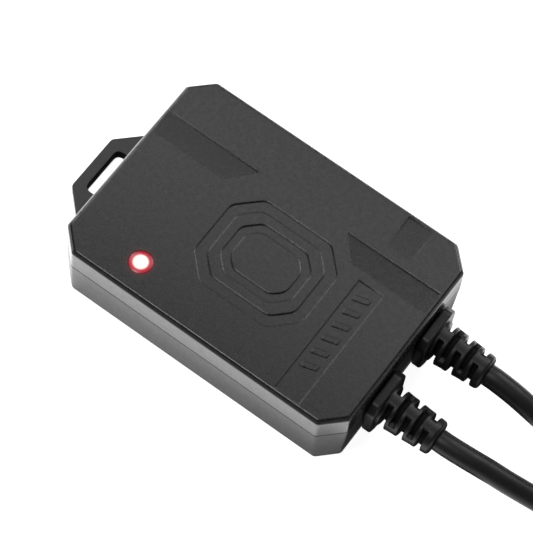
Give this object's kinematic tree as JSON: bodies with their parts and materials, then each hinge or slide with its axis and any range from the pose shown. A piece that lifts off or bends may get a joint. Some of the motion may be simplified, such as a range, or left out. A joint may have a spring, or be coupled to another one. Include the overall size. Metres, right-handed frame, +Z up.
{
  "type": "sealed lighting controller",
  "caption": "Low rectangular sealed control box with cut corners, a slotted mounting ear, a status lamp and ribbed boots for jacketed leads with round plugs.",
  "frame": {"origin": "centre of the case's flat bottom face", "axes": "+X along the case toward the end the leads leave, +Y across it toward the power lead, +Z up out of the cover"},
  "size_m": [0.1986, 0.1169, 0.0248],
  "materials": {
    "case_plastic": "fine matte grain",
    "black_rubber": "satin",
    "zinc_steel": "zinc plated",
    "board_laminate": "green solder mask",
    "lamp_lens": "clear red, polished",
    "diode_resin": "pale resin",
    "module_laminate": "blue solder mask",
    "tinned_steel": "tin plated",
    "pale_ceramic": "unglazed",
    "chip_epoxy": "moulded epoxy",
    "ferrite": "pressed ferrite",
    "capacitor_can": "drawn can",
    "boot_rubber": "satin",
    "wire_red": "satin",
    "wire_black": "satin",
    "wire_green": "satin",
    "wire_blue": "satin",
    "wire_white": "satin",
    "lead_jacket": "satin",
    "overmould": "satin",
    "contact_carrier": "moulded",
    "gold_contact": "gold flash",
    "nickel_nut": "nickel plated"
  },
  "bodies": {
    "controller": {"lower_housing": "case_plastic", "top_cover": "case_plastic", "perimeter_gasket": "black_rubber", "power_plug_seal": "black_rubber", "output_plug_seal": "black_rubber", "cover_screw_1": "zinc_steel", "cover_screw_2": "zinc_steel", "cover_screw_3": "zinc_steel", "cover_screw_4": "zinc_steel", "board_screw_1": "zinc_steel", "board_screw_2": "zinc_steel", "board_screw_3": "zinc_steel", "board_screw_4": "zinc_steel", "circuit_board": "board_laminate", "light_pipe": "lamp_lens", "status_led": "diode_resin", "radio_module_board": "module_laminate", "radio_shield_can": "tinned_steel", "crystal": "tinned_steel", "chip_antenna": "pale_ceramic", "input_fuse": "pale_ceramic", "microcontroller": "chip_epoxy", "red_channel_transistor": "chip_epoxy", "green_channel_transistor": "chip_epoxy", "blue_channel_transistor": "chip_epoxy", "white_channel_transistor": "chip_epoxy", "voltage_regulator": "chip_epoxy", "surge_diode": "chip_epoxy", "choke": "ferrite", "input_capacitor": "capacitor_can", "power_lead_boot": "boot_rubber", "output_lead_boot": "boot_rubber", "power_wire_red": "wire_red", "output_wire_red": "wire_red", "power_wire_black": "wire_black", "output_wire_black": "wire_black", "output_wire_green": "wire_green", "output_wire_blue": "wire_blue", "output_wire_white": "wire_white", "power_lead": "lead_jacket", "output_lead": "lead_jacket", "power_plug_body": "overmould", "output_plug_body": "overmould", "power_contact_carrier": "contact_carrier", "output_contact_carrier": "contact_carrier", "power_pin_1": "gold_contact", "power_pin_2": "gold_contact", "output_contact_1": "gold_contact", "output_contact_2": "gold_contact", "output_contact_3": "gold_contact", "output_contact_4": "gold_contact", "output_contact_5": "gold_contact"},
    "power_nut": {"power_coupling_nut": "nickel_nut"},
    "output_nut": {"output_coupling_nut": "nickel_nut"}
  },
  "joints": [
    {"name": "power_nut_turn", "type": "hinge", "parent": "controller", "child": "power_nut", "pos_m": [0.064, 0.06365, 0.007], "axis": [-1, 0, 0], "continuous": true},
    {"name": "output_nut_turn", "type": "hinge", "parent": "controller", "child": "output_nut", "pos_m": [0.064, 0.0782, 0.007], "axis": [-1, 0, 0], "continuous": true}
  ]
}
